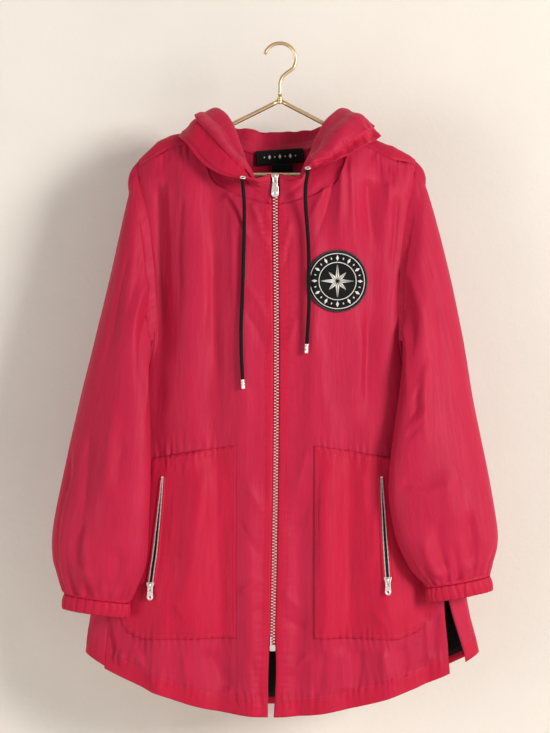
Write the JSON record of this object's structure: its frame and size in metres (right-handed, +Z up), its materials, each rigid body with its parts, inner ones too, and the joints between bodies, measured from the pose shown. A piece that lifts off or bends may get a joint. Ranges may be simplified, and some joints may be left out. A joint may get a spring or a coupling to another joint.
{
  "type": "hooded windbreaker on hanger",
  "caption": "A thin raspberry nylon windbreaker with hood, front zip, patch pockets and elastic cuffs, hanging on a brass wire hanger, as rigid cloth.",
  "frame": {"origin": "the bearing point inside the top of the hanger's hook, where it sits on a rail", "axes": "+Z is up, the garment's front faces -Y and the wearer's left is +X"},
  "size_m": [0.6193, 0.1793, 0.9445],
  "materials": {
    "shell": "satin",
    "lining": "matte",
    "cord": "matte",
    "label": "matte",
    "silver": "polished",
    "brass": "polished"
  },
  "bodies": {
    "garment": {"back": "shell", "chest_badge": "label", "cord_tip_left": "silver", "cord_tip_right": "silver", "cuff_left": "shell", "cuff_right": "shell", "drawcord_left": "cord", "drawcord_right": "cord", "eyelet_left": "silver", "eyelet_right": "silver", "front_left": "shell", "front_right": "shell", "hanger_arm_left": "brass", "hanger_arm_right": "brass", "hanger_bar": "brass", "hanger_hook": "brass", "hanger_joint": "brass", "hood_centre": "shell", "hood_left": "shell", "hood_right": "shell", "lining_back": "lining", "neck_label": "label", "pocket_left": "shell", "pocket_right": "shell", "pocket_slider_left": "silver", "pocket_slider_right": "silver", "pocket_zip_left": "silver", "pocket_zip_right": "silver", "size_label": "label", "sleeve_left": "shell", "sleeve_right": "shell", "yoke": "shell", "zip_chain": "silver", "zip_slider": "silver"},
    "zip_pull_body": {"zip_pull": "silver"},
    "pocket_pull_left_body": {"pocket_pull_left": "silver"},
    "pocket_pull_right_body": {"pocket_pull_right": "silver"}
  },
  "joints": [
    {"name": "zip_pull_hinge", "type": "hinge", "parent": "garment", "child": "zip_pull_body", "pos_m": [-0.007, -0.05176, -0.1905], "axis": [-1, 0, 0], "range_deg": [0, 150]},
    {"name": "pocket_pull_left_hinge", "type": "hinge", "parent": "garment", "child": "pocket_pull_left_body", "pos_m": [0.1487, -0.0631, -0.7475], "axis": [-1, 0, 0], "range_deg": [0, 150]},
    {"name": "pocket_pull_right_hinge", "type": "hinge", "parent": "garment", "child": "pocket_pull_right_body", "pos_m": [-0.17955, -0.05525, -0.7555], "axis": [-1, 0, 0], "range_deg": [0, 150]}
  ]
}
